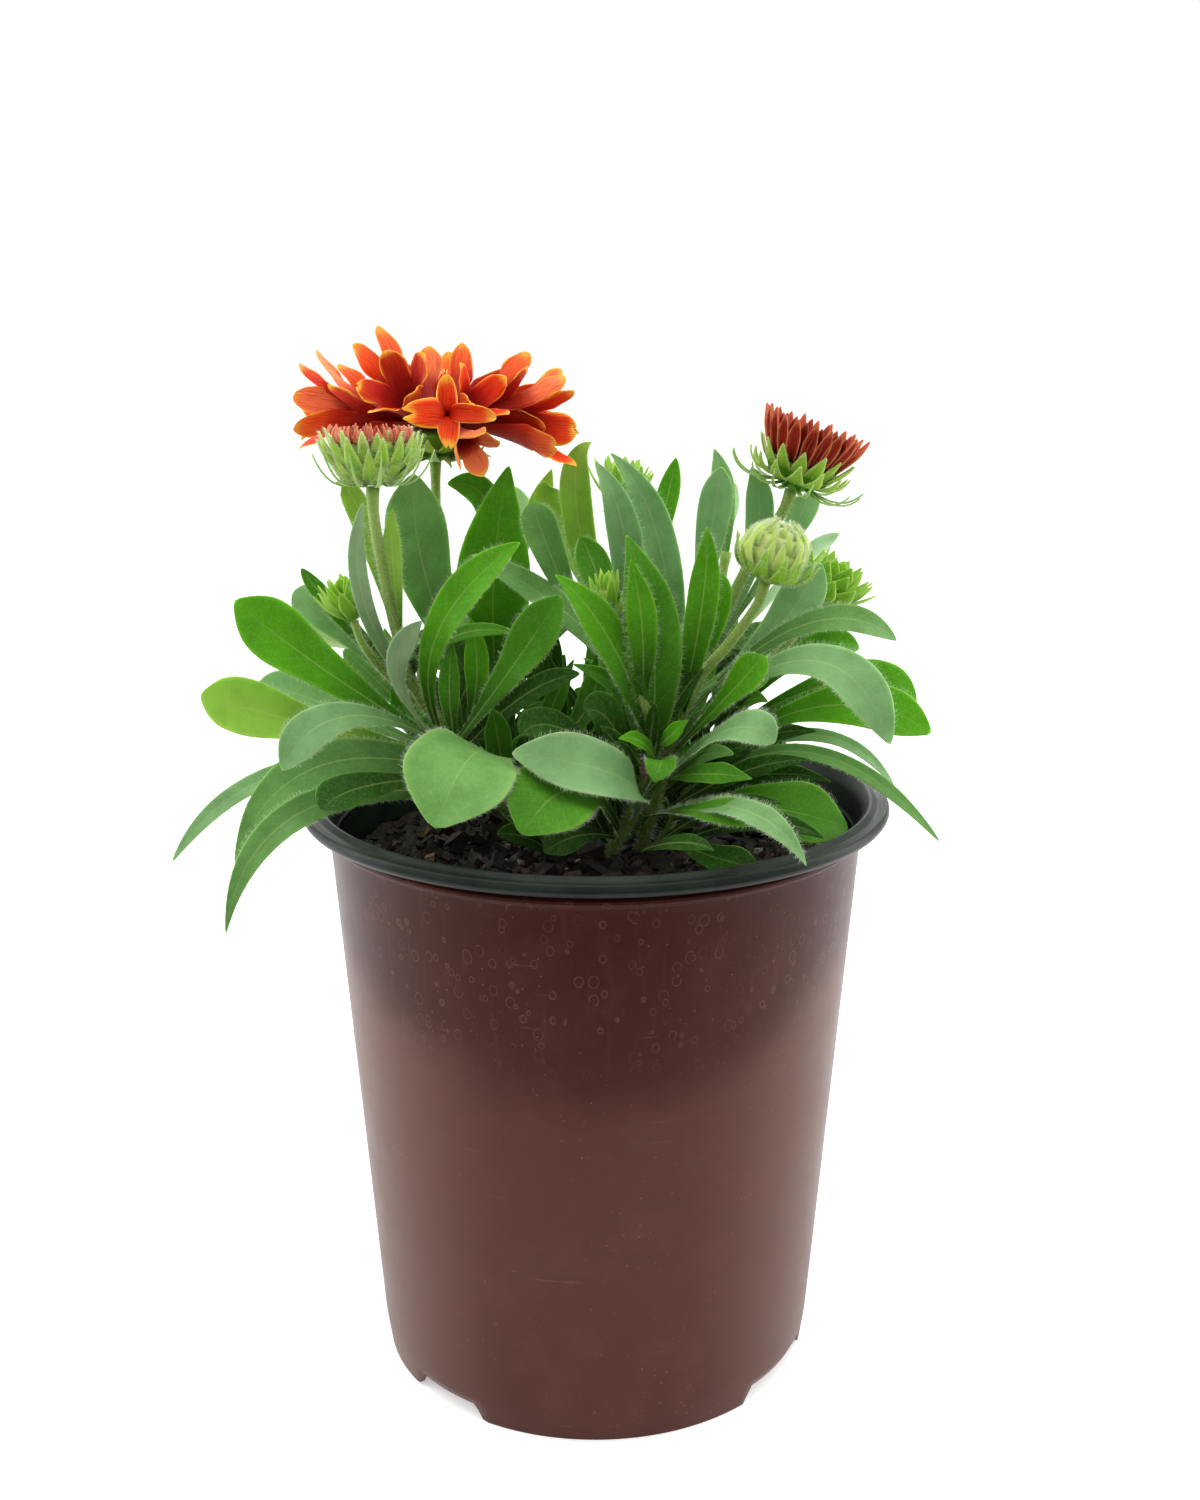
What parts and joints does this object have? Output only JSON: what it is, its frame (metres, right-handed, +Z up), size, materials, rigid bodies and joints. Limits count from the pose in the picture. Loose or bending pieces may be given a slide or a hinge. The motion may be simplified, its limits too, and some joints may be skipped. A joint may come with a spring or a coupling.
{
  "type": "blanket flower plant in a nursery pot",
  "caption": "Flowering blanket flower plant with a fluted orange bloom, opening heads and buds over spoon-shaped leaves, growing in a round brown plastic nursery pot.",
  "frame": {"origin": "middle of the pot's flat base, where it rests", "axes": "+Z up along the pot's axis; -Y is the front, which the front leaves lean over; the open bloom stands towards -X and the half-open head towards +X"},
  "size_m": [0.2169, 0.1774, 0.2919],
  "materials": {
    "pot_plastic": "thin moulded brown plastic, black inside and on the rolled rim",
    "potting_mix": "moist dark bark and peat mix",
    "leaf": "soft green leaf tissue with fine pale hairs",
    "bract": "pale yellow-green hairy bracts",
    "fluted_ray": "orange-red petals with gold edges and dark red throats",
    "young_ray": "folded brick red petals with pale edges",
    "ray_tip": "pale pink tips of young petals",
    "disc_floret": "dark red close-packed florets"
  },
  "bodies": {
    "root": {"nursery_pot": "pot_plastic", "potting_mix": "potting_mix", "left_rosette": "leaf", "left_head_stem": "leaf", "bloom_stem": "leaf", "centre_shoot": "leaf", "right_bud_stem": "leaf", "right_head_stem": "leaf", "far_right_shoot": "leaf", "rear_centre_shoot": "leaf", "rear_left_shoot": "leaf", "rear_right_shoot": "leaf", "bloom_bracts": "bract", "bloom_rays": "fluted_ray", "bloom_disc": "disc_floret", "closed_head_bracts": "bract", "closed_head_ray_tips": "ray_tip", "open_head_bracts": "bract", "open_head_rays": "young_ray", "open_head_disc": "disc_floret", "right_bud": "bract", "far_right_bud": "bract", "centre_bud": "bract", "small_left_bud": "bract", "rear_bud": "bract"}
  },
  "joints": []
}
